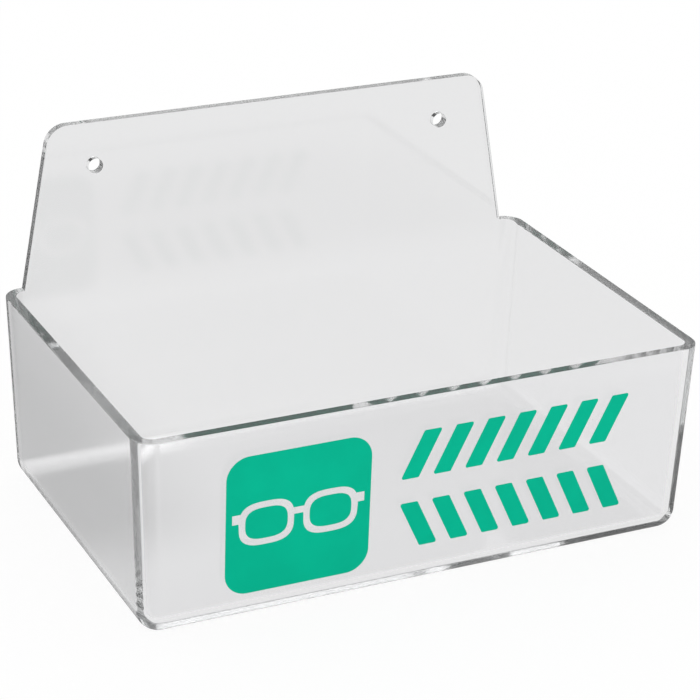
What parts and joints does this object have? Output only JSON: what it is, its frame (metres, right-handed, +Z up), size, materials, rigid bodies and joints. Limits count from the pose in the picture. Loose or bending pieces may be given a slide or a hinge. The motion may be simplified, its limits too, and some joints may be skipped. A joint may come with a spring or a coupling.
{
  "type": "safety glasses holder",
  "caption": "Clear moulded open-topped tub with a tall tapering back plate and screw holes, keeping safety glasses on a wall or a bench.",
  "frame": {"origin": "centre of the bounding box at the underside, which stands on the bench", "axes": "+X runs left to right as the holder is seen from its printed front, +Y to the rear, out of the back plate, and +Z up"},
  "size_m": [0.2286, 0.1524, 0.145],
  "materials": {
    "clear_acrylic": "clear, polished",
    "green_print": "screen printed ink"
  },
  "bodies": {
    "root": {"holder": "clear_acrylic"}
  },
  "joints": []
}
